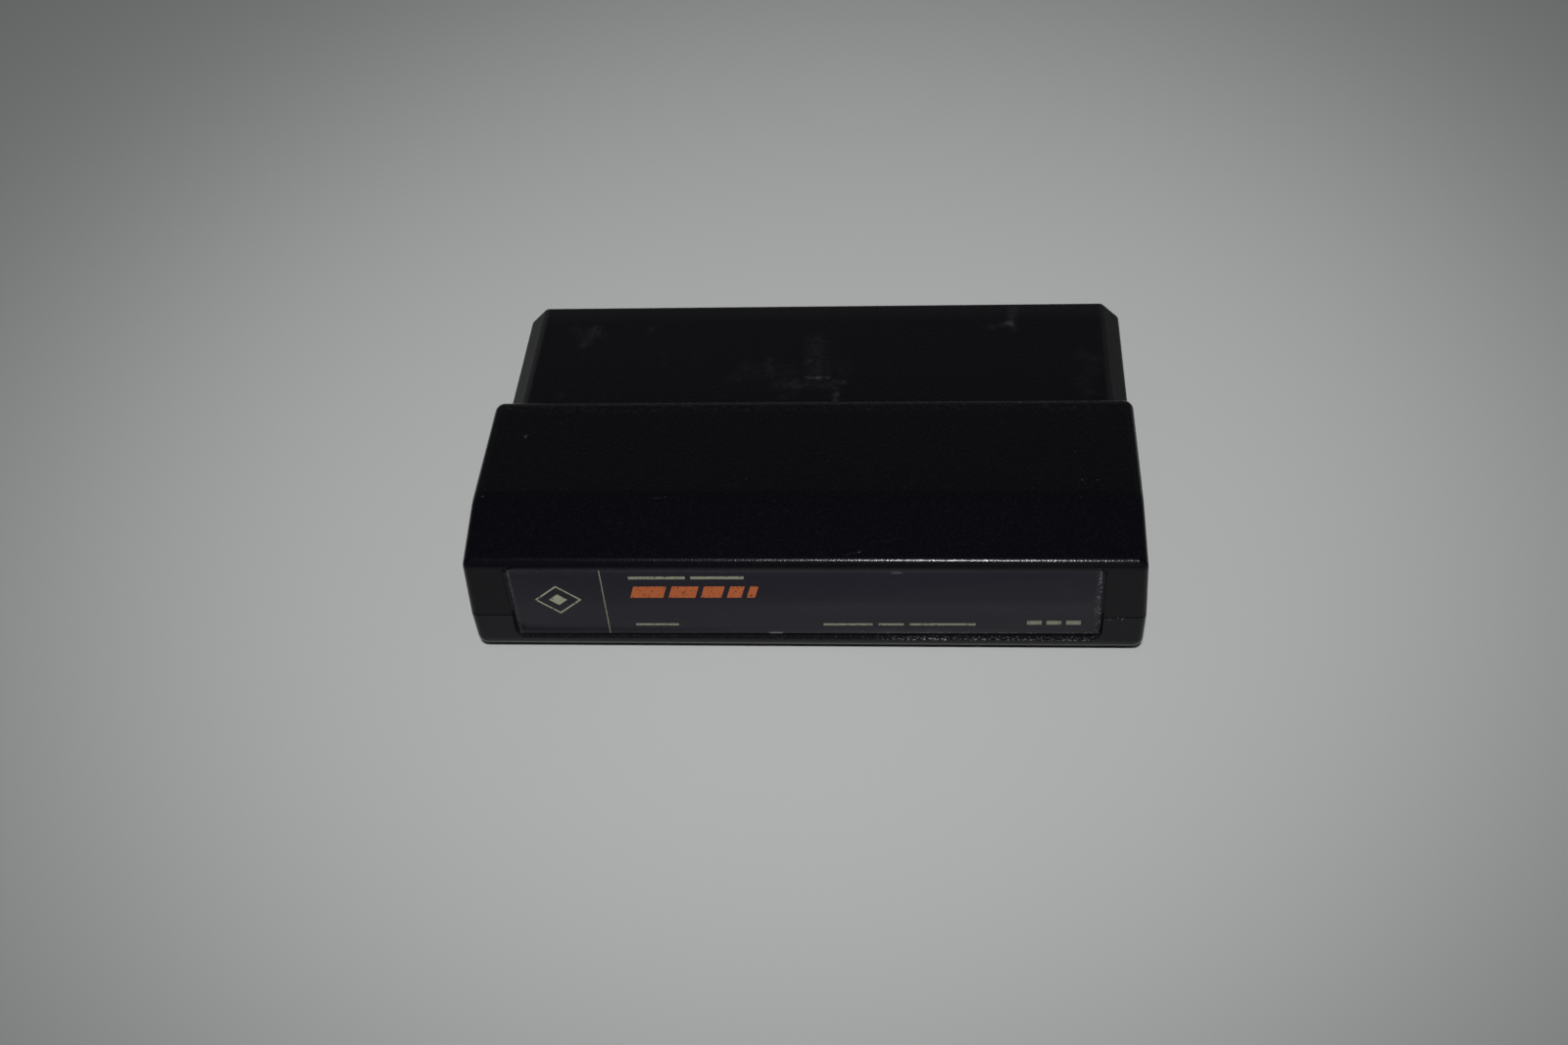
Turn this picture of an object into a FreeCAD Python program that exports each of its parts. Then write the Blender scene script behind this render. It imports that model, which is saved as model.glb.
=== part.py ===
import FreeCAD, Part
import math
import os

Vector = FreeCAD.Vector

# A slot-in game cartridge, lying flat. X runs across it, -Y is the label face,
# +Y the connector end, and Z is up from the underside. Millimetres and degrees.

# Outside of the case
case_width = 108.9  # across the parting line, where it is widest
case_depth = 69.5  # label face to connector end
case_height = 24.1  # underside to the flat top of the grip
parting_height = 8.5  # underside to the rim of the lower shell
upper_draft = 2.7  # lean of the upper side walls
lower_draft = 1.5  # lean of the lower side walls
grip_depth = 35.6  # label face to the step behind the grip
front_drop = 3.45  # flat top down to where its slope would meet the label face
crease_depth = 11.7  # label face to the crease between slope and flat top
tongue_height = 17.5  # underside to the top of the tongue
tongue_chamfer = 3.15  # both upper side edges of the tongue

# Rounded edges of the case
crease_radius = 9.0
grip_edge_radius = 1.8
case_corner_radius = 1.2
grip_rear_radius = 1.8
tongue_side_radius = 1.2
tongue_end_radius = 1.2
base_edge_radius = 3.0

# Walls and fits of the two shells
wall = 2.0
seam_gap = 0.2  # open line between the two rims
fit_gap = 0.15  # clearance between moulded pieces
lip_height = 1.4  # tongue of the lower rim inside the upper one

# Label recess in the front face, and the film in it
recess_side_margin = 6.85  # widest part of the case to the recess
recess_bottom = 3.15
recess_top_margin = 0.9  # recess to where the slope would meet the label face
recess_depth = 0.9
recess_upper_radius = 1.2
recess_lower_radius = 2.0
label_thickness = 0.25
label_margin = 0.4

# Connector slot in the end of the tongue
slot_side_margin = 22.0  # widest part of the case to the slot
slot_roof = 2.75  # slot to the top of the tongue
guide_length = 12.0  # walls beside the slot, inside the case
guide_wall = 1.6

# Circuit board and its card edge
board_thickness = 1.6
board_drop = 0.4  # parting line to the lower face of the board
board_side_margin = 10.0  # widest part of the case to the board
board_front_margin = 6.0  # label face to the front edge of the board
board_rear_margin = 17.0  # connector end to the main rear edge of the board
card_edge_width = 47.6
card_edge_recess = 6.0  # connector end to the card edge
card_edge_bevel = 0.4
finger_count = 18
finger_pitch = 2.54
finger_width = 1.6
finger_length = 8.5
finger_setback = 0.8  # card edge to the tip of a finger
finger_thickness = 0.1

# Posts that carry the board, pins that place it and ribs that stiffen the roof
post_radius = 2.6
post_side_margin = 4.0  # edge of the board to a post
post_front_margin = 3.5
post_rear_margin = 3.5
pin_radius = 1.4
pin_rise = 1.4  # pin above the board
rib_count = 3
rib_pitch = 26.0
rib_thickness = 1.2
rib_drop = 3.0

# Case screw, driven from below
screw_setback = 20.0  # front edge of the board to the screw
screw_shank_radius = 1.25
screw_head_radius = 2.75
screw_head_height = 1.8
screw_head_recess = 1.4  # underside to the face of the head
screw_head_chamfer = 0.7
screw_length = 13.0
screw_recess_width = 1.2  # slots of the cross recess in the head
screw_recess_length = 3.4
screw_recess_depth = 0.9
screw_boss_wall = 1.5
screw_clearance = 0.35
screw_pilot_clearance = 0.05

# Memory chips in two-row packages
lead_pitch = 2.54
lead_thickness = 0.25
lead_shoulder_width = 1.4
lead_pin_width = 0.5
lead_reach = 1.2  # pin below the board
lead_hole_radius = 0.45
lead_hole_sides = 6
chip_stand_off = 0.5
chip_draft = 8.0
chip_notch_radius = 1.2
large_chip_lead_count = 24
large_chip_rows = 15.24  # between the two rows of leads
large_chip_body = (31.8, 13.7, 3.9)
large_chip_shift = -23.0  # from the middle of the board
large_chip_setback = 20.0  # front edge of the board to the middle of the chip
small_chip_lead_count = 16
small_chip_rows = 7.62
small_chip_body = (19.4, 6.4, 3.5)
small_chip_shift = 18.0
front_chip_setback = 9.5
rear_chip_margin = 6.1  # step behind the grip to the middle of the chip

# Ceramic disc capacitors
disc_radius = 3.0
disc_thickness = 2.4
disc_edge_chamfer = 0.7
disc_stand_off = 1.5
disc_lead_spacing = 5.08
disc_lead_radius = 0.25
disc_side_margin = 8.0  # side of the board to the disc

# Places that follow from the sizes above
front = -case_depth / 2
rear = case_depth / 2
grip_rear = front + grip_depth
front_edge_height = case_height - front_drop
recess_half_width = case_width / 2 - recess_side_margin
recess_top = front_edge_height - recess_top_margin
slot_half_width = case_width / 2 - slot_side_margin
slot_top = tongue_height - slot_roof
upper_rim = parting_height + seam_gap
board_bottom = parting_height - board_drop
board_top = board_bottom + board_thickness
board_half_width = case_width / 2 - board_side_margin
board_front = front + board_front_margin
board_rear = rear - board_rear_margin
card_edge = rear - card_edge_recess
screw_place = (0.0, board_front + screw_setback)
large_chip_place = (large_chip_shift, board_front + large_chip_setback)
front_chip_place = (small_chip_shift, board_front + front_chip_setback)
rear_chip_place = (small_chip_shift, grip_rear - rear_chip_margin)
disc_shift = board_half_width - disc_side_margin
panel_front = front + recess_depth
tiny = 0.001


def block(xs, ys, zs):
    """A box between pairs of limits."""
    corner = Vector(xs[0], ys[0], zs[0])
    return Part.makeBox(xs[1] - xs[0], ys[1] - ys[0], zs[1] - zs[0], corner)


def post(place, zs, radius):
    """An upright cylinder."""
    return Part.makeCylinder(radius, zs[1] - zs[0], Vector(place[0], place[1], zs[0]))


def polygon(points):
    """A closed wire through corner points."""
    return Part.makePolygon(points + points[:1])


def inside(wire, inset):
    """The face in a flat wire, with its outline moved inwards."""
    if inset > 0:
        wire = wire.makeOffset2D(-inset, 2)
    return Part.Face(wire)


def rounded(solid, radius, is_wanted):
    """The solid with the edges that a test picks rounded to one radius."""
    edges = [edge for edge in solid.Edges if is_wanted(edge.BoundBox)]
    return solid.makeFillet(radius, edges)


def bevelled(solid, size, is_wanted):
    """The solid with the edges that a test picks bevelled."""
    edges = [edge for edge in solid.Edges if is_wanted(edge.BoundBox)]
    return solid.makeChamfer(size, edges)


def joined(shapes):
    """One solid from several that meet."""
    return shapes[0].fuse(shapes[1:]).removeSplitter()


def group(solids):
    """Separate solids in one shape."""
    return Part.makeCompound(solids)


def upper_half_width(z):
    return case_width / 2 - (z - parting_height) * math.tan(math.radians(upper_draft))


def lower_half_width(z):
    return case_width / 2 - (parting_height - z) * math.tan(math.radians(lower_draft))


def grip_form(inset):
    """Thick front of the upper shell: a creased side profile between leaning sides."""
    low = upper_rim - inset
    profile = polygon([
        Vector(0, front, low),
        Vector(0, front, front_edge_height),
        Vector(0, front + crease_depth, case_height),
        Vector(0, grip_rear, case_height),
        Vector(0, grip_rear, low),
    ])
    sides = polygon([
        Vector(-upper_half_width(low), front, low),
        Vector(-upper_half_width(case_height + wall), front, case_height + wall),
        Vector(upper_half_width(case_height + wall), front, case_height + wall),
        Vector(upper_half_width(low), front, low),
    ])
    along = inside(profile, inset).extrude(Vector(case_width, 0, 0))
    along.translate(Vector(-case_width / 2, 0, 0))
    across = inside(sides, inset).extrude(Vector(0, grip_depth, 0))
    return along.common(across)


def tongue_form(inset, start):
    """Thin rear of the upper shell, with chamfered upper side edges."""
    low = upper_rim - inset
    shoulder = tongue_height - tongue_chamfer
    half_top = upper_half_width(shoulder) - tongue_chamfer
    outline = polygon([
        Vector(-upper_half_width(low), start, low),
        Vector(-upper_half_width(shoulder), start, shoulder),
        Vector(-half_top, start, tongue_height),
        Vector(half_top, start, tongue_height),
        Vector(upper_half_width(shoulder), start, shoulder),
        Vector(upper_half_width(low), start, low),
    ])
    return inside(outline, inset).extrude(Vector(0, rear - inset - start, 0))


def base_form(inset):
    """Lower shell as a closed tray form, leaning in towards the underside."""
    high = parting_height + inset
    outline = polygon([
        Vector(-lower_half_width(0), front + inset, 0),
        Vector(-lower_half_width(high), front + inset, high),
        Vector(lower_half_width(high), front + inset, high),
        Vector(lower_half_width(0), front + inset, 0),
    ])
    return inside(outline, inset).extrude(Vector(0, case_depth - 2 * inset, 0))


def rim_ring(outer_inset, inner_inset, zs):
    """A band that follows the rim, between two distances from the outside."""
    def plan(inset):
        half = case_width / 2 - inset
        return block((-half, half), (front + inset, rear - inset), zs)
    return plan(outer_inset).cut(plan(inner_inset))


def label_prism(inset, ys, top):
    """The rounded outline of the label recess, as a prism through the front."""
    half = recess_half_width - inset
    low = recess_bottom + inset
    upper = recess_upper_radius - inset
    lower = recess_lower_radius - inset
    form = block((-half, half), ys, (low, top))
    form = rounded(form, lower, lambda box: box.YLength > tiny and box.ZMax < low + tiny
                   and box.XLength < tiny)
    return rounded(form, upper, lambda box: box.YLength > tiny and box.ZMin > top - tiny
                   and box.XLength < tiny)


def rounded_grip():
    """Grip with its crease, side, front and rear edges rounded."""
    grip = grip_form(0)
    crease = front + crease_depth
    grip = rounded(grip, crease_radius, lambda box: abs(box.YMin - crease) < tiny
                   and abs(box.YMax - crease) < tiny)
    grip = rounded(grip, grip_edge_radius, lambda box: box.ZMin > front_edge_height - tiny
                   and (box.YLength > tiny or box.YMax < front + tiny))
    grip = rounded(grip, case_corner_radius, lambda box: box.YMax < front + 2 * grip_edge_radius
                   and box.ZLength > case_corner_radius and box.XLength < 2 * grip_edge_radius)
    return rounded(grip, grip_rear_radius, lambda box: box.YMin > grip_rear - tiny
                   and box.ZMax > upper_rim + tiny)


def rounded_tongue():
    """Tongue with its chamfers and its end rounded, reaching into the grip."""
    tongue = tongue_form(0, grip_rear - wall)
    shoulder = tongue_height - tongue_chamfer
    tongue = rounded(tongue, tongue_side_radius, lambda box: box.YLength > tiny
                     and box.ZMin > shoulder - tiny and box.XLength < tiny)
    return rounded(tongue, tongue_end_radius, lambda box: box.YMin > rear - tiny
                   and box.ZMax > upper_rim + tiny)


def post_places():
    """Front and rear pairs of posts under the corners of the board."""
    side = board_half_width - post_side_margin
    return [(x, y) for y in (board_front + post_front_margin, board_rear - post_rear_margin)
            for x in (-side, side)]


def pin_places():
    return post_places()[:2]


def slot_guides(zs):
    """Walls on both sides of the connector slot, inside the end wall."""
    inner = slot_half_width
    ys = (rear - wall - guide_length, rear - wall)
    return [block((inner, inner + guide_wall), ys, zs),
            block((-inner - guide_wall, -inner), ys, zs)]


def upper_shell():
    """Moulded upper half: grip, tongue and label panel, with bosses inside."""
    outer = joined([rounded_grip(), rounded_tongue()])
    hollow = grip_form(wall).fuse(tongue_form(wall, front + wall))
    shell = outer.cut(hollow)
    rebate = (upper_rim - seam_gap, parting_height + lip_height + fit_gap)
    shell = shell.cut(rim_ring(wall / 2, wall + lip_height, rebate))
    shell = shell.cut(label_prism(0, (front - wall, panel_front), recess_top))

    panel = label_prism(fit_gap, (panel_front, panel_front + wall), recess_top)
    roof = joined([grip_form(wall / 2), tongue_form(wall / 2, front + wall)])
    boss_radius = screw_shank_radius + screw_boss_wall
    inside_pieces = [post(place, (board_top, case_height), post_radius) for place in post_places()]
    inside_pieces.append(post(screw_place, (board_top, case_height), boss_radius))
    inside_pieces += slot_guides((upper_rim, tongue_height))
    rib_zs = (case_height - wall - rib_drop, case_height)
    for index in range(rib_count):
        x = (index - (rib_count - 1) / 2) * rib_pitch
        inside_pieces.append(block((x - rib_thickness / 2, x + rib_thickness / 2),
                                   (panel_front + wall / 2, grip_rear), rib_zs))
    shell = joined([shell, panel] + [piece.common(roof) for piece in inside_pieces])

    for place in pin_places():
        shell = shell.cut(post(place, (board_top, board_top + pin_rise + fit_gap), pin_radius + fit_gap))
    pilot = screw_shank_radius + screw_pilot_clearance
    screw_tip = screw_head_recess + screw_head_height + screw_length
    shell = shell.cut(post(screw_place, (board_top, screw_tip + screw_clearance), pilot))
    slot = block((-slot_half_width, slot_half_width), (rear - wall - tiny, rear + wall), (0, slot_top))
    return shell.cut(slot).removeSplitter()


def lower_shell():
    """Moulded lower half: a tray with a lip, board posts and the screw well."""
    tray = base_form(0)
    tray = rounded(tray, case_corner_radius, lambda box: box.YLength < tiny and box.ZLength > tiny)
    tray = rounded(tray, base_edge_radius, lambda box: box.ZMax < tiny)
    tray = tray.cut(base_form(wall))

    lip_zs = (parting_height, parting_height + lip_height)
    lip = rim_ring(wall / 2 + fit_gap, wall, lip_zs)
    half_label = recess_half_width + fit_gap
    lip = lip.cut(block((-half_label, half_label), (front, front + 2 * wall), lip_zs))
    half_slot = slot_half_width + guide_wall + fit_gap
    lip = lip.cut(block((-half_slot, half_slot), (rear - 2 * wall, rear), lip_zs))

    well_radius = screw_head_radius + screw_clearance
    boss_radius = well_radius + screw_boss_wall
    floor = wall / 2
    pieces = [tray, lip, post(screw_place, (floor, board_bottom), boss_radius)]
    pieces += [post(place, (floor, board_bottom), post_radius) for place in post_places()]
    pieces += [post(place, (board_bottom, board_top + pin_rise), pin_radius) for place in pin_places()]
    pieces += slot_guides((floor, parting_height))
    shell = joined(pieces)

    well = post(screw_place, (-tiny, screw_head_recess + screw_head_height), well_radius)
    bore = post(screw_place, (0, board_bottom + tiny), screw_shank_radius + screw_clearance)
    notch = label_prism(0, (front - wall, front + wall + fit_gap), recess_top)
    slot = block((-slot_half_width, slot_half_width), (rear - wall - tiny, rear + wall),
                 (wall, case_height))
    return shell.cut([well, bore, notch, slot]).removeSplitter()


def front_label():
    """Printed film that fills the recess."""
    return label_prism(label_margin, (panel_front - label_thickness, panel_front),
                       recess_top - label_margin)


def case_screw():
    """Self-tapping screw with a cross recess in its pan head."""
    seat = screw_head_recess + screw_head_height
    head = post(screw_place, (screw_head_recess, seat), screw_head_radius)
    head = bevelled(head, screw_head_chamfer, lambda box: box.ZMax < screw_head_recess + tiny)
    shank = post(screw_place, (seat, seat + screw_length), screw_shank_radius)
    screw = joined([head, shank])
    half_long = screw_recess_length / 2
    half_wide = screw_recess_width / 2
    x, y = screw_place
    zs = (0, screw_head_recess + screw_recess_depth)
    return screw.cut([block((x - half_long, x + half_long), (y - half_wide, y + half_wide), zs),
                      block((x - half_wide, x + half_wide), (y - half_long, y + half_long), zs)])


def lead_places(place, lead_count, row_spacing):
    """Two rows of leads along X, each with the way from the body to its row."""
    per_row = lead_count // 2
    places = []
    for index in range(per_row):
        x = place[0] + (index - (per_row - 1) / 2) * lead_pitch
        places.append((x, place[1] - row_spacing / 2, -1))
        places.append((x, place[1] + row_spacing / 2, 1))
    return places


def disc_places(chip_place):
    """The two wires of the capacitor beside a chip."""
    return [(disc_shift, chip_place[1] - disc_lead_spacing / 2),
            (disc_shift, chip_place[1] + disc_lead_spacing / 2)]


def all_lead_places():
    """Every hole that a lead goes through."""
    places = lead_places(large_chip_place, large_chip_lead_count, large_chip_rows)
    for chip in (front_chip_place, rear_chip_place):
        places += lead_places(chip, small_chip_lead_count, small_chip_rows)
        places += disc_places(chip)
    return [(place[0], place[1]) for place in places]


def lead_hole(place):
    """A hole through the board for one lead, six-sided so that many of them stay light."""
    turn = 2 * math.pi / lead_hole_sides
    corners = [Vector(place[0] + lead_hole_radius * math.cos(index * turn),
                      place[1] + lead_hole_radius * math.sin(index * turn), board_bottom)
               for index in range(lead_hole_sides)]
    return Part.Face(polygon(corners)).extrude(Vector(0, 0, board_thickness))


def circuit_board():
    """Board with a bevelled card edge, lead holes, pin holes and a screw hole."""
    zs = (board_bottom, board_top)
    main = block((-board_half_width, board_half_width), (board_front, board_rear), zs)
    edge = block((-card_edge_width / 2, card_edge_width / 2), (board_rear - wall, card_edge), zs)
    edge = bevelled(edge, card_edge_bevel, lambda box: box.YMin > card_edge - tiny
                    and box.XLength > tiny)
    holes = [lead_hole(place) for place in all_lead_places()]
    holes += [post(place, zs, pin_radius + fit_gap) for place in pin_places()]
    holes.append(post(screw_place, zs, screw_shank_radius + screw_clearance))
    return joined([main, edge]).cut(holes)


def contact_fingers(zs):
    """One row of plated pads on a face of the card edge."""
    tip = card_edge - finger_setback
    fingers = []
    for index in range(finger_count):
        x = (index - (finger_count - 1) / 2) * finger_pitch
        fingers.append(block((x - finger_width / 2, x + finger_width / 2),
                             (tip - finger_length, tip), zs))
    return group(fingers)


def chip_body(place, size):
    """Moulded package: two halves that taper from a mid plane, with an end notch."""
    length, width, height = size
    low = board_top + chip_stand_off
    taper = height / 2 * math.tan(math.radians(chip_draft))

    def outline(z, inset):
        half_x = length / 2 - inset
        half_y = width / 2 - inset
        return polygon([Vector(place[0] + sx * half_x, place[1] + sy * half_y, z)
                        for sx, sy in ((-1, -1), (1, -1), (1, 1), (-1, 1))])

    middle = outline(low + height / 2, 0)
    lower = Part.makeLoft([outline(low, taper), middle], True, True)
    upper = Part.makeLoft([middle, outline(low + height, taper)], True, True)
    notch = post((place[0] - length / 2, place[1]), (low + height / 2, low + height), chip_notch_radius)
    return joined([lower, upper]).cut(notch)


def chip_leads(place, size, lead_count, row_spacing):
    """Flat leads that leave the middle of the body, turn down and go through the board."""
    length, width, height = size
    middle = board_top + chip_stand_off + height / 2
    leads = []
    for x, y, way in lead_places(place, lead_count, row_spacing):
        root = place[1] + way * width / 2
        outside = y + way * lead_thickness / 2
        inner = y - way * lead_thickness / 2
        shoulder_xs = (x - lead_shoulder_width / 2, x + lead_shoulder_width / 2)
        pin_xs = (x - lead_pin_width / 2, x + lead_pin_width / 2)
        arm = block(shoulder_xs, sorted((root, outside)), (middle, middle + lead_thickness))
        drop = block(shoulder_xs, sorted((inner, outside)), (board_top, middle + lead_thickness))
        pin = block(pin_xs, sorted((inner, outside)), (board_bottom - lead_reach, board_top))
        leads.append(joined([arm, drop, pin]))
    return group(leads)


def capacitor_body(chip_place):
    """Dipped ceramic disc that stands on edge across its two wires."""
    centre_height = board_top + disc_stand_off + disc_radius
    start = Vector(disc_shift - disc_thickness / 2, chip_place[1], centre_height)
    disc = Part.makeCylinder(disc_radius, disc_thickness, start, Vector(1, 0, 0))
    return bevelled(disc, disc_edge_chamfer, lambda box: box.XLength < tiny)


def capacitor_leads(chip_place):
    """Two straight wires from the disc through the board."""
    body = capacitor_body(chip_place)
    centre_height = board_top + disc_stand_off + disc_radius
    return group([post(place, (board_bottom - lead_reach, centre_height), disc_lead_radius).cut(body)
                  for place in disc_places(chip_place)])


nodes = {
    "upper_shell": upper_shell(),
    "lower_shell": lower_shell(),
    "front_label": front_label(),
    "case_screw": case_screw(),
    "circuit_board": circuit_board(),
    "upper_contact_fingers": contact_fingers((board_top, board_top + finger_thickness)),
    "lower_contact_fingers": contact_fingers((board_bottom - finger_thickness, board_bottom)),
}
chips = {
    "large": (large_chip_place, large_chip_body, large_chip_lead_count, large_chip_rows),
    "front": (front_chip_place, small_chip_body, small_chip_lead_count, small_chip_rows),
    "rear": (rear_chip_place, small_chip_body, small_chip_lead_count, small_chip_rows),
}
for name, (place, size, lead_count, row_spacing) in chips.items():
    nodes[name + "_memory_chip_body"] = chip_body(place, size)
    nodes[name + "_memory_chip_leads"] = chip_leads(place, size, lead_count, row_spacing)
for name, place in (("front", front_chip_place), ("rear", rear_chip_place)):
    nodes[name + "_capacitor_body"] = capacitor_body(place)
    nodes[name + "_capacitor_leads"] = capacitor_leads(place)

os.makedirs("parts", exist_ok=True)
for name, shape in nodes.items():
    shape.exportStep("parts/" + name + ".step")
    print(name, "valid:", shape.isValid(), "solids:", len(shape.Solids), "mm3:", round(shape.Volume, 1))
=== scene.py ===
import math

import bmesh
import bpy
from mathutils import Euler, Matrix, Vector


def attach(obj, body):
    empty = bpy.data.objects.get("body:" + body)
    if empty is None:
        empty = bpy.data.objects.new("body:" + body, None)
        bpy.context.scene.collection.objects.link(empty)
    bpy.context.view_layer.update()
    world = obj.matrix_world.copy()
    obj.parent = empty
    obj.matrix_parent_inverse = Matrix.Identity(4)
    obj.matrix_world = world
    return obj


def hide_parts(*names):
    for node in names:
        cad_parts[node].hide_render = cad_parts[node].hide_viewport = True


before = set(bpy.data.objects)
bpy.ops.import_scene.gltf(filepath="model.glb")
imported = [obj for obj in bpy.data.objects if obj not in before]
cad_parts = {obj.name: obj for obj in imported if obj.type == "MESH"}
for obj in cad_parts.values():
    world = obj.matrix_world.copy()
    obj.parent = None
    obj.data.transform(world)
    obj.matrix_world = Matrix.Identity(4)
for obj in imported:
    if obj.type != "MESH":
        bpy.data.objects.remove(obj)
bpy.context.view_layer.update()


# The case is two halves of black plastic, injection moulded with a fine grain, closed on
# each other at a parting line and clamped by one screw from below. Handling has left dust,
# a few pale specks, hairline scratches and smears on it.

class Value:
    """A socket of a material's node tree: arithmetic on it adds the nodes it needs."""

    def __init__(self, tree, socket=None):
        self.tree = tree
        self.socket = socket

    def node(self, kind, settings, inputs, output=0):
        """Adds any node: its settings first, then the values or links of its sockets."""
        new = self.tree.nodes.new(kind)
        for name, setting in settings.items():
            setattr(new, name, setting)
        for name, value in inputs.items():
            if isinstance(value, Value):
                self.tree.links.new(value.socket, new.inputs[name])
            else:
                new.inputs[name].default_value = value
        return Value(self.tree, new.outputs[output])

    def math(self, operation, first, second=0.0, clamp=False):
        settings = {"operation": operation, "use_clamp": clamp}
        return self.node("ShaderNodeMath", settings, {0: first, 1: second})

    def vector(self, operation, *inputs, output=0):
        settings = {"operation": operation}
        return self.node("ShaderNodeVectorMath", settings, dict(enumerate(inputs)), output)

    def __add__(self, other):
        return self.math("ADD", self, other)

    def __sub__(self, other):
        return self.math("SUBTRACT", self, other)

    def __mul__(self, other):
        return self.math("MULTIPLY", self, other)

    def __truediv__(self, other):
        return self.math("DIVIDE", self, other)

    def __rsub__(self, other):
        return self.math("SUBTRACT", other, self)

    def __abs__(self):
        return self.math("ABSOLUTE", self)

    __radd__ = __add__
    __rmul__ = __mul__

    def most(self, other):
        return self.math("MAXIMUM", self, other)

    def ramp(self, start, end):
        """Nought at start, one at end, eased between them; start may be the larger."""
        settings = {"interpolation_type": "SMOOTHSTEP"}
        return self.node("ShaderNodeMapRange", settings,
                         {"Value": self, "From Min": start, "From Max": end})

    def between(self, low, high, soft):
        """One between two limits, fading over a soft width inside them."""
        return self.ramp(low, low + soft) * self.ramp(high, high - soft)

    def blend(self, first, second):
        """The first colour where this is nought, the second where it is one."""
        settings = {"data_type": "RGBA", "clamp_factor": True}
        return self.node("ShaderNodeMix", settings, {0: self, 6: first, 7: second}, 2)

    def axes(self):
        """The X, Y and Z of this vector."""
        split = self.node("ShaderNodeSeparateXYZ", {}, {"Vector": self}).socket.node
        return [Value(self.tree, output) for output in split.outputs]

    def noise(self, size, detail=2.0, shift=0.0):
        """Cloudy noise about one half, with features of a size in millimetres."""
        moved = self.vector("ADD", self, (shift, shift, shift))
        inputs = {"Vector": moved, "Scale": 1 / size, "Detail": detail}
        return self.node("ShaderNodeTexNoise", {}, inputs)

    def specks(self, spacing, size, share, shift=0.0):
        """Sparse round specks: a share of cells of a spacing holds one of up to a size."""
        moved = self.vector("ADD", self, (shift, shift, shift))
        cells = self.node("ShaderNodeTexVoronoi", {}, {"Vector": moved, "Scale": 1 / spacing})
        luck = Value(self.tree, cells.socket.node.outputs["Color"]).axes()
        radius = luck[1] * (size / spacing)
        return ((radius - cells) / (size / spacing)).ramp(0, 0.4) * luck[0].ramp(share, share - 0.01)

    def spot(self, centre, radius):
        """One at a place on the plan, fading to nought at a radius."""
        far = self.vector("DISTANCE", self, (*centre, 0), output="Value")
        return far.ramp(radius, 0)

    def stroke(self, start, end, width):
        """One along a straight line on the plan, fading to nought at a width from it."""
        way = Vector((*end, 0)) - Vector((*start, 0))
        rel = self.vector("SUBTRACT", self, (*start, 0))
        along = self.vector("DOT_PRODUCT", rel, way / way.length_squared, output="Value")
        along = self.math("ADD", along, 0.0, clamp=True)
        foot = self.vector("MULTIPLY_ADD", -way, along, rel)
        return self.vector("LENGTH", foot, output="Value").ramp(width, 0)


def new_material(name):
    """A material, its Principled shader and the object's own coordinates in millimetres."""
    material = bpy.data.materials.new(name)
    material.use_nodes = True
    tree = Value(material.node_tree)
    shader = material.node_tree.nodes["Principled BSDF"]
    metres = tree.node("ShaderNodeTexCoord", {}, {}, "Object")
    return material, shader, tree.vector("MULTIPLY", metres, (1000, 1000, 1000))


def feed(shader, **values):
    """Sets or links sockets of a shader, named with underscores."""
    for name, value in values.items():
        socket = shader.inputs[name.replace("_", " ")]
        if isinstance(value, Value):
            value.tree.links.new(value.socket, socket)
        else:
            socket.default_value = value


def cover(names, material):
    """Gives CAD pieces a material of their own."""
    for name in names:
        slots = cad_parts[name].data.materials
        slots.clear()
        slots.append(material)


def grained_plastic(shader, place, colour, index, dull=0.0, smooth=0.0):
    """Black plastic with a fine moulded grain, duller or smoother where asked."""
    fine_grain = (place.noise(0.32, 1) - 0.5) * 1.3
    coarse_grain = (place.noise(0.85, 1, 15) - 0.5) * 1.4
    grain = fine_grain * (1.0 - smooth * 0.5) + coarse_grain * (1.0 - smooth)
    grain_depth = 0.00003
    bump = {"Strength": 0.85, "Distance": grain_depth, "Height": grain}
    satin = place.noise(5, 3) * 0.05 + 0.165
    feed(shader, Base_Color=colour, IOR=index, Roughness=satin + dull,
         Normal=place.node("ShaderNodeBump", {}, bump))


flat_black = (0.0017, 0.0017, 0.0024, 1)
# The slope's black is bluer than the flat top's: a painted tint for the reflection the slope shows, the
# plastic being the same.
slope_painted_reflection_black = (0.0018, 0.0015, 0.0029, 1)
# Pale grey for dust and specks, also used for painted light on the front face and in the recess.
dust_and_painted_light_grey = (0.20, 0.20, 0.21, 1)
upper_index = 1.24
upper_plastic, shader, place = new_material("upper_case_plastic")
x, y, z = place.axes()
on_top = z.ramp(16.9, 17.3)  # the top of the tongue, and all that is higher
behind_grip = y.ramp(0.8, 0.9)
tongue_only = on_top * behind_grip
straying = 0.9  # how far the outline of a mark wanders
plan = place.vector("MULTIPLY", place, (1, 1, 0))
ragged = place.node("ShaderNodeTexNoise", {}, {"Vector": plan, "Scale": 1.4}, 1)
ragged = place.vector("SUBTRACT", ragged, (0.5, 0.5, 0.5))
plan = place.vector("MULTIPLY_ADD", ragged, (straying, straying, 0), plan)

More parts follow.
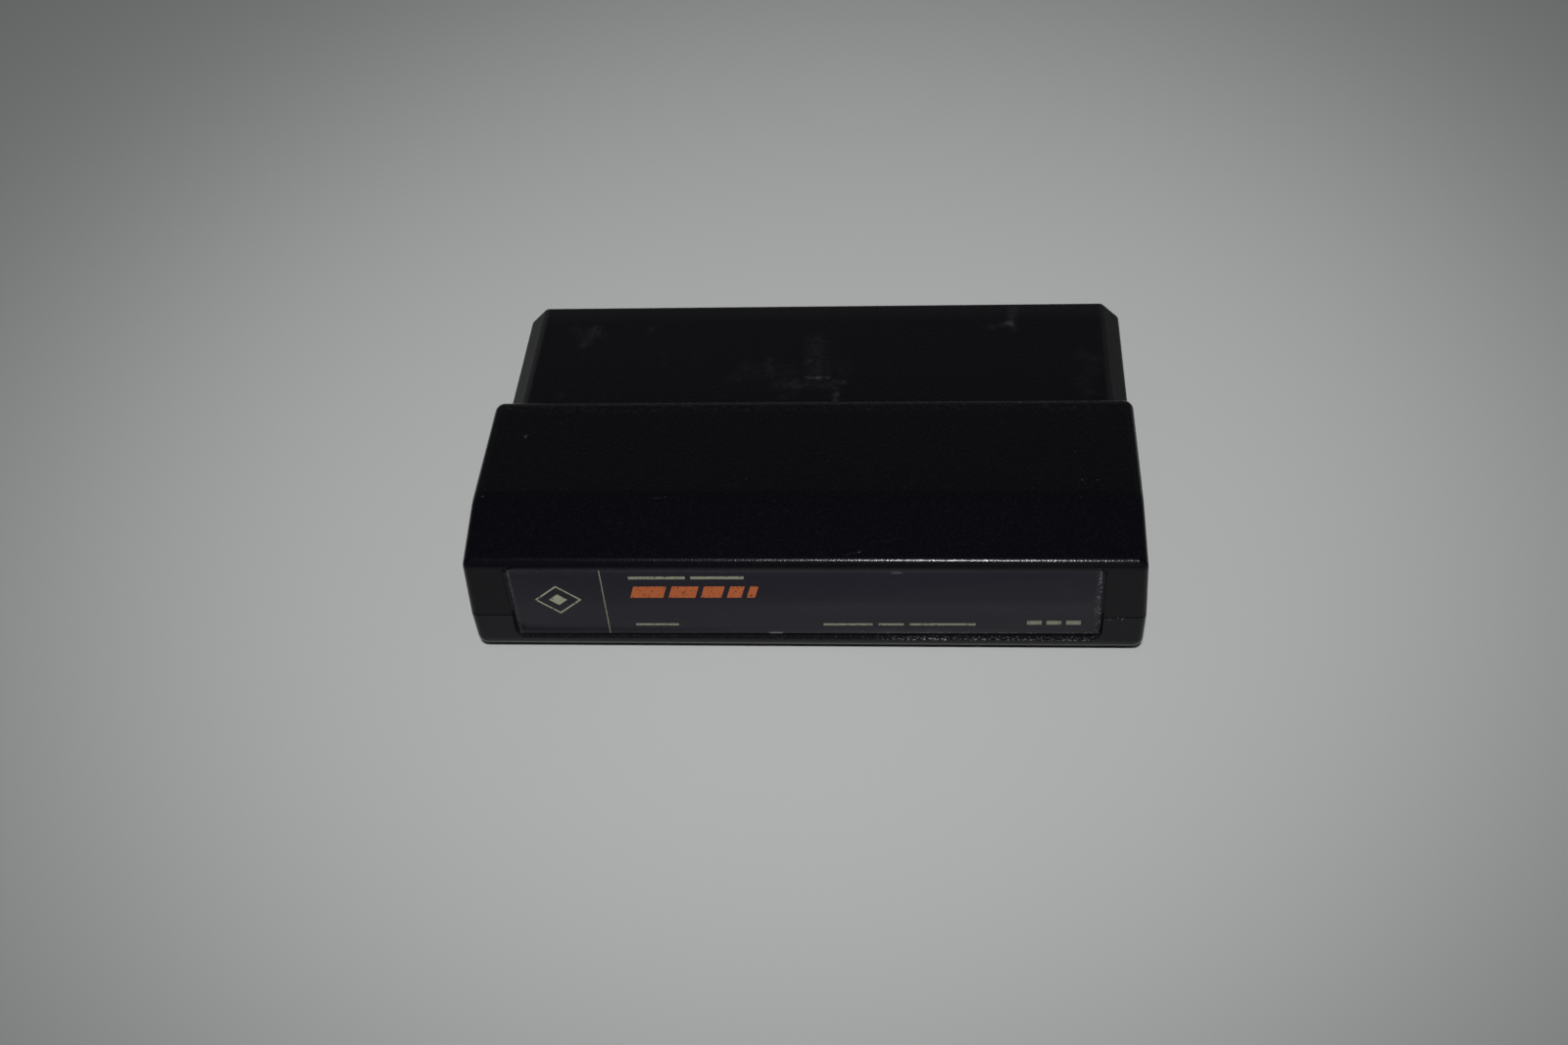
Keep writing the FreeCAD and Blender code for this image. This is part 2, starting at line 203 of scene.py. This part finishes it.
# Smears and scuffs on top of the tongue: strength, then ends and half width, or centre and radius
tongue_strokes = (
    (0.024, (-42.3, 23.6), (-41.0, 27.7), 1.7), (0.020, (-41.0, 27.7), (-39.6, 26.0), 1.6),
    (0.019, (-0.3, 23.9), (0.3, 15.2), 3.2), (0.017, (-3.4, 11.9), (2.3, 11.7), 2.0),
    (0.016, (-6.8, 11.7), (-3.6, 12.1), 2.2), (0.012, (-8.3, 18.8), (-8.0, 14.5), 1.7),
    (0.050, (-1.7, 13.9), (2.3, 13.8), 0.7), (0.055, (-0.4, 13.9), (1.0, 13.8), 0.6),
    (0.014, (3.6, 12.8), (3.8, 9.3), 1.4), (0.050, (3.8, 9.4), (3.8, 7.9), 0.9),
    (0.026, (35.1, 33.0), (34.6, 28.7), 1.6), (0.034, (32.5, 27.9), (34.4, 28.4), 1.1),
    (0.020, (34.6, 28.7), (35.1, 27.0), 1.3), (0.012, (46.6, 19.4), (49.2, 18.4), 2.2),
)
tongue_spots = ((0.012, (-43.1, 22.8), 1.6), (0.012, (-44.9, 28.2), 1.5), (0.010, (-43.4, 26.4), 3.2),
                (0.016, (-30.7, 27.8), 1.3), (0.014, (-27.4, 17.7), 1.2), (0.010, (-28.0, 20.6), 1.1),
                (0.012, (-12.7, 17.2), 1.8), (0.012, (-14.4, 13.7), 2.2), (0.008, (-10.5, 15.6), 4.5),
                (0.008, (-5.0, 15.2), 4.0), (0.008, (4.6, 16.2), 4.0), (0.024, (-1.5, 18.2), 1.2),
                (0.034, (4.9, 12.4), 1.2), (0.020, (-3.5, 9.5), 1.2), (0.016, (-5.4, 8.5), 1.4),
                (0.034, (34.3, 28.6), 1.2), (0.028, (30.9, 27.4), 1.3), (0.012, (48.2, 15.2), 2.4),
                (0.012, (47.2, 9.6), 2.2), (0.009, (46.4, 12.6), 2.6), (0.012, (-44.8, 9.3), 1.3))
# Specks and hairlines on the grip
grip_spots = ((0.11, (-47.0, -8.6), 0.55), (0.04, (-41.7, -5.5), 0.37), (0.02, (-40.5, -4.8), 0.31),
              (0.02, (-38.3, -3.6), 0.37), (0.02, (-51.2, -3.9), 0.31), (0.11, (-9.3, -18.9), 0.19),
              (0.02, (1.8, -12.9), 0.25), (0.02, (1.6, -8.8), 0.31), (0.02, (13.0, -10.8), 0.25),
              (0.04, (40.5, -11.9), 0.19), (0.18, (43.5, -12.8), 0.17), (0.31, (44.3, -19.3), 0.20),
              (0.26, (46.7, -19.3), 0.19), (0.05, (51.3, -17.0), 0.19), (0.03, (46.5, -3.8), 0.25),
              (0.02, (44.0, -2.1), 0.31), (0.11, (-51.8, -23.0), 0.31), (0.11, (-22.0, -23.2), 0.22),
              (0.06, (-43.0, -29.7), 0.20), (0.04, (43.7, -23.1), 0.22), (0.06, (48.4, -24.4), 0.19),
              (0.02, (31.4, -26.4), 0.25), (0.18, (9.3, -32.7), 0.19), (0.13, (35.1, -0.5), 0.31))
grip_strokes = ((0.025, (-23.9, -23.5), (-22.9, -23.2), 0.24), (0.005, (-20.9, -17.9), (-18.3, -17.2), 0.18),
                (0.004, (-6.0, -11.7), (0.2, -6.9), 0.18), (0.006, (16.4, -21.0), (18.8, -18.5), 0.18),
                (0.008, (-15.3, -33.2), (-10.1, -29.4), 0.16), (0.008, (10.8, -31.3), (15.8, -30.1), 0.18),
                (0.017, (7.3, -33.2), (9.6, -32.5), 0.19), (0.005, (-12.6, -20.9), (-10.9, -20.1), 0.40))
marks = place.math("ADD", 0.0, 0.0)
for strength, start, end, width in tongue_strokes:
    marks = marks + plan.stroke(start, end, width) * strength
for strength, centre, radius in tongue_spots:
    marks = marks + plan.spot(centre, radius) * strength
marks = marks * tongue_only * (plan.noise(1.0, 4).ramp(0.3, 0.68) + 0.2)
scuffs = place.math("ADD", 0.0, 0.0)
for strength, centre, radius in grip_spots:
    scuffs = scuffs + plan.spot(centre, radius) * strength
for strength, start, end, width in grip_strokes:
    scuffs = scuffs + plan.stroke(start, end, width) * strength
scuffs = scuffs * z.ramp(19.4, 20.0)

# Dust that lies on the upper faces, thicker along the rear edge of the grip
flecks = place.noise(0.55, 3).ramp(0.56, 0.75) * place.noise(9, 2, 40).ramp(0.35, 0.65)
mottle = place.noise(0.5, 2, 33).ramp(0.42, 0.75)
specks = place.specks(2.6, 0.16, 0.16) * 0.05 + place.specks(1.5, 0.17, 0.3, 7) * 0.02
dust = (flecks * 0.009 + mottle * 0.006 + specks) * on_top
rear_dust = y.between(-3.5, 0.9, 1.5) * plan.noise(0.9, 3).ramp(0.45, 0.75) * z.ramp(23.2, 24.0)
dust = dust + rear_dust * 0.016 + marks + scuffs

# Grey on the tongue, lighter towards its end and along its side rims; a painted reflection on the
# front face, paler towards the right; lighter along the rear edge of the grip
tongue_grey = y.ramp(2, 20) * 0.002 + y.ramp(29, 33) * 0.011 + x.ramp(40, -30) * 0.001
side_rims = x.ramp(-50.0, -50.9) * 0.05 + x.ramp(50.1, 50.9) * 0.02
end_rim = y.ramp(33.4, 34.1) * z.ramp(15.5, 16.0) * 0.035
# Painted reflection: the front face is painted paler, more so towards the right.
front_painted_reflection = y.ramp(-34.0, -34.3) * (x.ramp(-20, 52) * 0.010 + 0.005)
grip_rear_edge = y.between(-1.2, 0.8, 0.4) * z.ramp(22.6, 23.2) * 0.019
grey_and_painted_light = tongue_only * (tongue_grey + side_rims) + end_rim + front_painted_reflection + grip_rear_edge


def recess_painted_fill(x, y, z, place):
    """Painted light in the recess of the label, lightening its shaded floor a little and its left wall more.
    """
    inside = y.between(-34.7, -33.7, 0.05) * z.ramp(19.9, 19.7) * abs(x).ramp(47.68, 47.62)
    left_wall = x.between(-47.66, -47.45, 0.03) * z.ramp(2, 9) * 0.08
    return inside * (left_wall + abs(x).ramp(46.5, 47.0) * 0.02 + place.noise(0.5, 2, 12) * 0.03)


# Painted fill light lightens the shaded recess of the label.
grey_and_painted_light = grey_and_painted_light + recess_painted_fill(x, y, z, place)
# The slope takes the painted reflection tint.
slope = y.ramp(-22.2, -23.6)
chamfers = behind_grip * z.between(14.2, 17.35, 0.15)
rubbed_front_edge = y.ramp(-32.4, -33.2)
upper_colour = (dust + grey_and_painted_light).blend(slope.blend(flat_black, slope_painted_reflection_black), dust_and_painted_light_grey)
grained_plastic(shader, place, upper_colour, upper_index, dull=chamfers * 0.17,
                smooth=rubbed_front_edge * 0.8)
cover(("upper_shell",), upper_plastic)

# The lower half has little dust and is painted paler than the upper half; its lip under the label
# carries painted glints, bright points most of all towards the right
# The lower half's black is painted paler than the upper half's, standing in for the brighter reflection on
# its front.
lower_painted_paler_black = (0.0032, 0.0031, 0.0050, 1)
seam_speck_and_glint_grey = (0.45, 0.46, 0.47, 1)
lower_index = 1.285
lower_plastic, shader, place = new_material("lower_case_plastic")
x, y, z = place.axes()
lip = z.between(2.95, 3.35, 0.12) * y.ramp(-34.3, -34.6)
sill = y.between(-34.7, -33.8, 0.1) * z.between(3.0, 3.4, 0.1)
points = place.noise(0.24, 0, 20).ramp(0.58, 0.68)
# Painted glints: bright points along the lip and the sill of the recess, strongest on the right.
lip_painted_glints = lip * points * (x.between(11, 47, 3) * 0.22 + x.between(15, 25, 2) * 0.3 + 0.015)
lip_painted_glints = lip_painted_glints + sill * place.noise(0.4, 1, 50).ramp(0.56, 0.70) * (x.ramp(0, 25) * 0.07 + 0.02)
seam_points = place.noise(0.4, 1, 70).ramp(0.56, 0.66) * 0.12
seam = z.between(7.9, 8.6, 0.1) * x.between(47.4, 51.5, 0.5) * seam_points
# Seam specks, with the painted glints and the fainter painted fill light of the recess.
seam_specks_and_painted_light = lip_painted_glints + seam + recess_painted_fill(x, y, z, place) * 0.45
base_edge = z.ramp(1.75, 1.2)
grained_plastic(shader, place, seam_specks_and_painted_light.blend(lower_painted_paler_black, seam_speck_and_glint_grey), lower_index, dull=base_edge * 0.8)
cover(("lower_shell",), lower_plastic)


# The label is a printed plastic film, die cut with round corners and stuck by hand, a little
# askew, to the floor of a shallow recess in the front face. Its print is plain: a rule, a
# diamond and bars. Its rim is chafed pale, most of all at the right-hand end. Painted
# reflections lie on its face, paler in bands and near its edges, with painted glints along
# its lower edge.

def edit(piece):
    """Opens a piece for editing with nothing selected, and gives its mesh."""
    bpy.context.view_layer.objects.active = piece
    bpy.ops.object.mode_set(mode="EDIT")
    bpy.ops.mesh.select_all(action="DESELECT")
    return bmesh.from_edit_mesh(piece.data)


def pick_edges(mesh, is_wanted):
    """Selects the edges that a test of their two ends picks."""
    bpy.ops.mesh.select_all(action="DESELECT")
    for edge in mesh.edges:
        edge.select_set(is_wanted(*(vertex.co for vertex in edge.verts)))


film_width, film_height, film_thickness = 0.09425, 0.0156, 0.00025
film_back = -0.03385  # floor of the recess
film_middle = 0.01157
film_shift = 0.00003
film_tilt = math.radians(0.39)
upper_corner, lower_corner = 0.0016, 0.0017
rim_bevel = 0.00006
hair = 0.000001  # less than this apart counts as touching
bpy.ops.object.select_all(action="DESELECT")
bpy.ops.mesh.primitive_cube_add(size=1)
label = bpy.context.object
label.name = "label_film"
mesh = edit(label)
bpy.ops.mesh.select_all(action="SELECT")
bpy.ops.transform.resize(value=(film_width, film_thickness, film_height))
for way, radius in ((1, upper_corner), (-1, lower_corner)):
    pick_edges(mesh, lambda a, b: abs(a.x - b.x) < hair and abs(a.z - b.z) < hair and a.z * way > 0)
    bpy.ops.mesh.bevel(offset=radius, segments=7)
    mesh = bmesh.from_edit_mesh(label.data)
front_rim = -film_thickness / 2
pick_edges(mesh, lambda a, b: abs(a.y - front_rim) < hair and abs(b.y - front_rim) < hair)
bpy.ops.mesh.bevel(offset=rim_bevel, segments=2)
bpy.ops.mesh.select_all(action="SELECT")
bpy.ops.mesh.remove_doubles(threshold=hair)
bpy.ops.mesh.normals_make_consistent(inside=False)
bpy.ops.transform.rotate(value=film_tilt, orient_axis="Y", center_override=(0, 0, 0))
bpy.ops.transform.translate(value=(film_shift, film_back - film_thickness / 2, film_middle))
bpy.ops.object.mode_set(mode="OBJECT")
bpy.ops.object.shade_smooth_by_angle(angle=math.radians(35))

film_dark = (0.0050, 0.0036, 0.0098, 1)
reflection_pale_film = (0.0135, 0.0118, 0.0185, 1)
cream_ink = (0.32, 0.32, 0.235, 1)
orange_ink = (0.42, 0.10, 0.027, 1)
# Pale grey of film bared by wear, also used for painted light along the edges.
bare_film_and_highlight_grey = (0.30, 0.30, 0.29, 1)
label_film, shader, place = new_material("label_film")
x, y, z = place.axes()
across = x + (z - film_middle * 1000) * math.tan(film_tilt)
up = z - film_middle * 1000 - x * math.tan(film_tilt)
half_width, half_height = film_width * 500, film_height * 500


def bar(left, right, low, high, soft=0.08):
    """A printed bar with slightly soft edges."""
    return across.between(left, right, soft) * up.between(low, high, soft)


# Painted reflection: bands of the film are painted paler, towards the right, near the top and bottom, and
# across the middle.
painted_reflection = across.ramp(-47, 45) * 0.33 + up.ramp(5.4, 7.6) * 0.55 + up.ramp(-4.8, -6.6) * 0.4
middle_painted_reflection = up.between(-4.2, 0.6, 1.9) * (across.ramp(-40, 20) * 0.25 + 0.25)
painted_reflection = painted_reflection + middle_painted_reflection + (place.noise(6, 2) - 0.5) * 0.3
film_with_painted_reflection = painted_reflection.blend(film_dark, reflection_pale_film)
rule = across.between(-32.15, -31.99, 0.04) * up.between(-7.9, 7.2, 0.2)
from_middle = abs(across + 39.6) / 3.9 + abs(up - 0.3) / 3.3
diamond = from_middle.between(0.86, 1.0, 0.03).most(from_middle.ramp(0.40, 0.36))
small_bars = place.math("ADD", 0.0, 0.0)
for left, right, low, high in (
        (-27.6, -18.4, 5.0, 5.7), (-17.6, -9.0, 5.0, 5.7), (-27.6, -20.5, -5.9, -5.3),
        (3.0, 11.0, -5.9, -5.3), (11.9, 16.0, -5.9, -5.3), (16.9, 27.5, -5.9, -5.3),
        (35.6, 38.0, -5.7, -4.7), (38.7, 41.1, -5.7, -4.7), (41.8, 44.2, -5.7, -4.7)):
    small_bars = small_bars.most(bar(left, right, low, high))
leaning = across - up * 0.3
wide_bars = place.math("ADD", 0.0, 0.0)
for left, right in ((-28.0, -22.6), (-21.8, -17.4), (-16.6, -13.2), (-12.4, -10.0), (-9.2, -7.8)):
    wide_bars = wide_bars.most(up.between(0.7, 3.4, 0.08) * leaning.between(left, right, 0.08))
worn_ink = place.noise(0.35, 3).ramp(0.30, 0.42)
cream_print = rule.most(diamond).most(small_bars * 0.72) * worn_ink
print_colour = (wide_bars * worn_ink).blend(cream_print.blend(film_with_painted_reflection, cream_ink), orange_ink)

chafe = place.noise(0.30, 3).ramp(0.46, 0.60)
left_wear = (across + half_width).ramp(0.8, 0.2) * (chafe * 0.12 + 0.05)
right_points = place.noise(0.42, 0, 30).ramp(0.58, 0.68) * 0.30 + 0.025
right_wear = (half_width - across).ramp(1.2, 0.3) * right_points
lower_points = place.noise(0.4, 0, 60).ramp(0.58, 0.70) * 0.3 + 0.04
# Painted glints along the lower edge, towards the right.
lower_edge_painted_glints = (up + half_height).ramp(0.35, 0.1) * across.ramp(6, 16) * lower_points
top_wear = (half_height - up).ramp(1.3, 0.7) * place.noise(0.4, 2, 90).ramp(0.56, 0.66) * 0.05
scuffs = across.between(-6.1, -3.5, 0.5) * (up + half_height).ramp(0.5, 0.2) * 0.6
scuffs = scuffs + across.between(13.9, 16.3, 0.8) * up.between(6.0, 6.8, 0.35) * 0.14
# Painted reflection: the film is painted paler near its lower edge and, towards the right, near its upper
# edge.
lower_edge_painted_reflection = (up + half_height).ramp(1.4, 0.3) * 0.09
upper_edge_painted_reflection = (half_height - up).ramp(1.7, 0.5) * (across.ramp(-40, 0) * 0.025 + 0.01)
wear_and_painted_light = left_wear + right_wear + lower_edge_painted_glints + lower_edge_painted_reflection + upper_edge_painted_reflection + top_wear + scuffs
wear_and_painted_light = wear_and_painted_light + place.specks(2.4, 0.14, 0.12) * 0.06
feed(shader, Base_Color=wear_and_painted_light.blend(print_colour, bare_film_and_highlight_grey), IOR=1.29,
     Roughness=place.noise(3, 3) * 0.08 + 0.22,
     Normal=place.node("ShaderNodeBump", {}, {"Strength": 0.3, "Distance": 0.00001,
                                              "Height": place.noise(0.5, 2)}))
label.data.materials.append(label_film)
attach(label, "root")
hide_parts("front_label")


# The case screw is a self-tapping screw of zinc plated steel with a cross recess. It is driven
# from below, with its head sunk in a well, and its plating has tarnished in patches.
bright_zinc = (0.52, 0.52, 0.50, 1)
dull_zinc = (0.24, 0.22, 0.17, 1)
screw_steel, shader, place = new_material("screw_steel")
tarnish = place.noise(0.7, 4).ramp(0.42, 0.68)
feed(shader, Base_Color=tarnish.blend(bright_zinc, dull_zinc), Metallic=1.0,
     Roughness=tarnish * 0.2 + 0.32)
cover(("case_screw",), screw_steel)


# The board is glass-fibre laminate under green resist, with copper tracks that show through
# it as lighter lines, and a bare amber rim along the bevelled card edge.
contact_pitch = 2.54
resist_green = (0.012, 0.070, 0.022, 1)
copper_green = (0.035, 0.135, 0.040, 1)
bare_amber = (0.30, 0.24, 0.10, 1)
board_laminate, shader, place = new_material("board_laminate")
x, y, z = place.axes()
contacts = x / contact_pitch + 0.5
track = contacts.math("FRACT", contacts).between(0.36, 0.64, 0.06) * y.between(2.0, 19.6, 0.5)
ground = y.between(-27.5, -25.0, 0.2).most(abs(x).between(40.5, 43.0, 0.2))
bare = y.ramp(27.9, 28.2).most(abs(x).ramp(44.2, 44.3))
green = track.most(ground).blend(resist_green, copper_green)
feed(shader, Base_Color=bare.blend(green, bare_amber), IOR=1.5,
     Roughness=place.noise(2, 3) * 0.1 + 0.3)
cover(("circuit_board",), board_laminate)


# The contact fingers are gold plated copper pads, etched on both faces of the card edge and
# wiped in fine lines along their length by the contacts of a connector.
dull_gold = (0.72, 0.46, 0.14, 1)
bright_gold = (0.86, 0.62, 0.25, 1)
gold_plate, shader, place = new_material("gold_plate")
wipe = place.vector("MULTIPLY", place, (6, 0.25, 1)).noise(1.0, 3.0)
feed(shader, Base_Color=wipe.blend(dull_gold, bright_gold), Metallic=1.0,
     Roughness=wipe * 0.2 + 0.2)
cover(("upper_contact_fingers", "lower_contact_fingers"), gold_plate)


# The chips are black resin packages, matt from their mould. Their leads, and the wires of the
# capacitors, are tinned and go down through holes in the board.
chip_black = (0.016, 0.016, 0.017, 1)
chip_plastic, shader, place = new_material("chip_plastic")
feed(shader, Base_Color=chip_black, IOR=1.45, Roughness=place.noise(0.3, 3) * 0.15 + 0.45,
     Normal=place.node("ShaderNodeBump", {}, {"Strength": 0.5, "Distance": 0.00002,
                                              "Height": place.noise(0.15, 2)}))
cover([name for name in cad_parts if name.endswith("chip_body")], chip_plastic)

bright_tin = (0.62, 0.61, 0.58, 1)
dull_tin = (0.42, 0.41, 0.39, 1)
tinned_lead, shader, place = new_material("tinned_lead")
dulled = place.noise(1.2, 3)
feed(shader, Base_Color=dulled.blend(bright_tin, dull_tin), Metallic=1.0,
     Roughness=dulled * 0.2 + 0.3)
cover([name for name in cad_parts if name.endswith("_leads")], tinned_lead)


# The capacitors are ceramic discs dipped in tan resin, which has run a little uneven. They
# stand on edge on their two wires.
dark_tan = (0.40, 0.17, 0.04, 1)
pale_tan = (0.55, 0.26, 0.07, 1)
capacitor_ceramic, shader, place = new_material("capacitor_ceramic")
feed(shader, Base_Color=place.noise(1.5, 3).blend(dark_tan, pale_tan), IOR=1.5, Roughness=0.35)
cover([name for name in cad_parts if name.endswith("capacitor_body")], capacitor_ceramic)


# The stage is a pale floor under the object, wide enough to fill the view, in matt paint.
floor_size = 3.0
floor_grey = (0.415, 0.425, 0.42, 1)
bpy.ops.object.select_all(action="DESELECT")
bpy.ops.mesh.primitive_plane_add(size=floor_size, location=(0, 0, 0))
floor = bpy.context.object
floor.name = "floor"
floor_paint, shader, place = new_material("floor_paint")
feed(shader, Base_Color=floor_grey, Roughness=0.6)
floor.data.materials.append(floor_paint)


# A soft lamp stands above and behind the camera, a bright core in a wider cone, with a small
# glint lamp in it for the highlights; a wide dim panel stands behind, in a nearly dark room.

def aim(lamp, spot, target):
    """Puts a lamp in the scene at a spot, turned to a target."""
    lamp.location = spot
    lamp.rotation_euler = (Vector(target) - Vector(spot)).to_track_quat("-Z", "Y").to_euler()
    bpy.context.scene.collection.objects.link(lamp)


key_spot = (0.029, -0.362, 0.638)
for name, cone, watts, width, target in (("key_core", 29.1, 12.3, 0.05, (-0.001, 0.014, 0)),
                                         ("key_spill", 51.6, 12.0, 0.05, (-0.025, 0.118, 0)),
                                         ("key_glint", 51.6, 13.6, 0.02, (-0.025, 0.118, 0))):
    key_light = bpy.data.lights.new(name, "SPOT")
    key_light.energy = watts
    key_light.shadow_soft_size = width
    key_light.spot_size = math.radians(cone)
    key_light.spot_blend = 1.0
    lamp = bpy.data.objects.new(name, key_light)
    lamp.visible_glossy = name == "key_glint"
    lamp.visible_diffuse = name != "key_glint"
    aim(lamp, key_spot, target)

panel_light = bpy.data.lights.new("rear_panel", "AREA")
panel_light.shape = "RECTANGLE"
panel_light.size = 1.6
panel_light.size_y = 0.45
panel_light.energy = 0.14
panel_spot = (0, 0.85, 0.55)
aim(bpy.data.objects.new("rear_panel", panel_light), panel_spot, (0, 0, 0))

room_grey = (0.07, 0.07, 0.073, 1)
world = bpy.data.worlds.new("room")
world.use_nodes = True
world.node_tree.nodes["Background"].inputs["Color"].default_value = room_grey
bpy.context.scene.world = world


# The camera looks down on the label face, turned and rolled a little.
camera_data = bpy.data.cameras.new("camera")
camera_data.sensor_width = 36
camera_data.lens = 42.26
camera = bpy.data.objects.new("camera", camera_data)
bpy.context.scene.collection.objects.link(camera)
camera_spot = (0.0219, -0.23325, 0.22675)
yaw, pitch, roll = (math.radians(angle) for angle in (-6.83, 44.57, -4.80))
look = Euler((math.pi / 2 - pitch, 0, -yaw)).to_matrix() @ Matrix.Rotation(roll, 3, "Z")
camera.matrix_world = Matrix.Translation(camera_spot) @ look.to_4x4()
bpy.context.scene.camera = camera
bpy.context.scene.view_settings.view_transform = "Standard"
